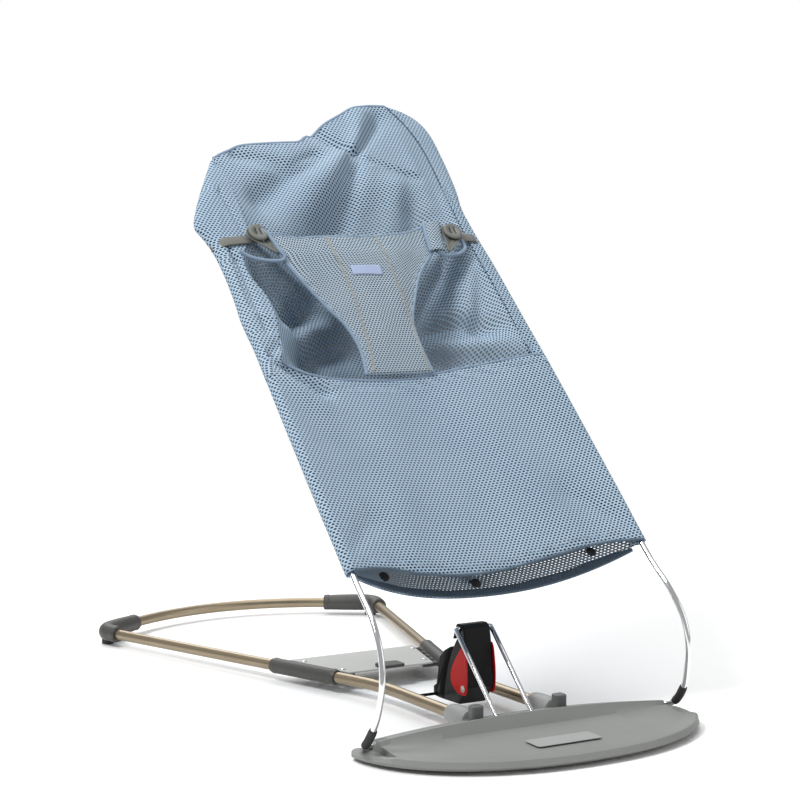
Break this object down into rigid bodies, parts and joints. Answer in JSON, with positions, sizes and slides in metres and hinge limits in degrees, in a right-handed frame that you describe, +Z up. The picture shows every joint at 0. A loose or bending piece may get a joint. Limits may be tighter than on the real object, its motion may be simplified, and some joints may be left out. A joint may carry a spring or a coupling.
{
  "type": "bouncer seat",
  "caption": "Baby bouncer seat: half-moon foot plate, bent-tube base, sprung wire seat frame with height catch, and a slide-on mesh cover with harness.",
  "frame": {"origin": "centre of the object's footprint on the floor, under the middle of its box", "axes": "+Z up, +Y from the foot plate to the rear of the base, +X to the sitter's left"},
  "size_m": [0.3756, 0.8129, 0.6317],
  "materials": {
    "blue_mesh": "knitted spacer mesh, matt",
    "pale_mesh": "fine knitted mesh, matt",
    "webbing": "flat woven tape",
    "buckle_plastic": "fine spark texture",
    "chrome_wire": "bright chrome",
    "bronze_tube": "satin anodised, champagne bronze",
    "dark_plastic": "matt moulded",
    "plate_rubber": "matt rubbery plastic",
    "socket_plastic": "matt moulded",
    "black_plastic": "satin moulded",
    "red_plastic": "satin moulded",
    "steel": "plain bright",
    "black_rod": "black lacquer",
    "stay_plate": "plain matt",
    "black_rubber": "matt",
    "label": "woven tape, plain"
  },
  "bodies": {
    "base": {"footplate": "plate_rubber", "bottom_cover": "dark_plastic", "foot_pad_1": "black_rubber", "foot_pad_2": "black_rubber", "foot_pad_3": "black_rubber", "foot_pad_4": "black_rubber", "cover_screw_1": "steel", "cover_screw_2": "steel", "cover_screw_3": "steel", "cover_screw_4": "steel", "caution_panel": "socket_plastic", "tube_socket_left": "socket_plastic", "tube_socket_right": "socket_plastic", "bumper_left": "socket_plastic", "bumper_right": "socket_plastic", "base_tube_left": "bronze_tube", "base_tube_right": "bronze_tube", "rear_cross_tube": "bronze_tube", "rear_elbow_left": "dark_plastic", "rear_elbow_right": "dark_plastic", "elbow_pad_left": "black_rubber", "elbow_pad_right": "black_rubber", "cross_rod": "black_rod", "plate_sleeve_left": "dark_plastic", "plate_sleeve_right": "dark_plastic", "stay_plate": "stay_plate", "stay_hook": "dark_plastic", "stay_rivet_left_front": "steel", "stay_rivet_left_rear": "steel", "stay_rivet_right_front": "steel", "stay_rivet_right_rear": "steel", "catch_housing": "black_plastic"},
    "catch": {"catch_plate_left": "red_plastic", "catch_plate_right": "red_plastic", "catch_pin": "steel"},
    "recline_arm": {"lever_wire": "chrome_wire"},
    "seat_frame": {"seat_wire": "chrome_wire", "wire_bush_left": "black_rubber", "wire_bush_right": "black_rubber"},
    "cover": {"lower_panel": "blue_mesh", "back_panel": "blue_mesh", "side_sleeve_left": "blue_mesh", "side_sleeve_right": "blue_mesh", "head_sleeve": "blue_mesh", "hem_stud_left": "black_rubber", "hem_stud_middle": "black_rubber", "hem_stud_right": "black_rubber", "strap_left": "webbing", "strap_right": "webbing"},
    "harness": {"harness_panel": "pale_mesh", "harness_label": "label", "keyhole_plate_left": "buckle_plastic", "keyhole_plate_right": "buckle_plastic"},
    "stud_left": {"button_stud_left": "buckle_plastic"},
    "stud_right": {"button_stud_right": "buckle_plastic"}
  },
  "joints": [
    {"name": "recline", "type": "hinge", "parent": "base", "child": "recline_arm", "pos_m": [0, -0.274, 0.0105], "axis": [1, 0, 0], "range_deg": [-36, 0]},
    {"name": "bounce", "type": "hinge", "parent": "recline_arm", "child": "seat_frame", "pos_m": [0, -0.274, 0.0105], "axis": [1, 0, 0], "range_deg": [-4, 3], "stiffness_Nm_per_rad": 120, "springref_deg": 1},
    {"name": "catch_press", "type": "hinge", "parent": "base", "child": "catch", "pos_m": [0, -0.199, 0.032], "axis": [1, 0, 0], "range_deg": [0, 12], "stiffness_Nm_per_rad": 0.05, "springref_deg": -5.73},
    {"name": "cover_slide", "type": "slide", "parent": "seat_frame", "child": "cover", "axis": [0, 0.7071, 0.7071], "range_m": [0, 0.2]},
    {"name": "harness_open", "type": "hinge", "parent": "cover", "child": "harness", "pos_m": [0, -0.06448, 0.337], "axis": [1, 0, 0], "range_deg": [0, 150]},
    {"name": "stud_release_left", "type": "slide", "parent": "harness", "child": "stud_left", "axis": [0.4592, -0.6282, -0.6282], "range_m": [0, 0.008]},
    {"name": "stud_release_right", "type": "slide", "parent": "harness", "child": "stud_right", "axis": [-0.4592, -0.6282, -0.6282], "range_m": [0, 0.008]}
  ]
}
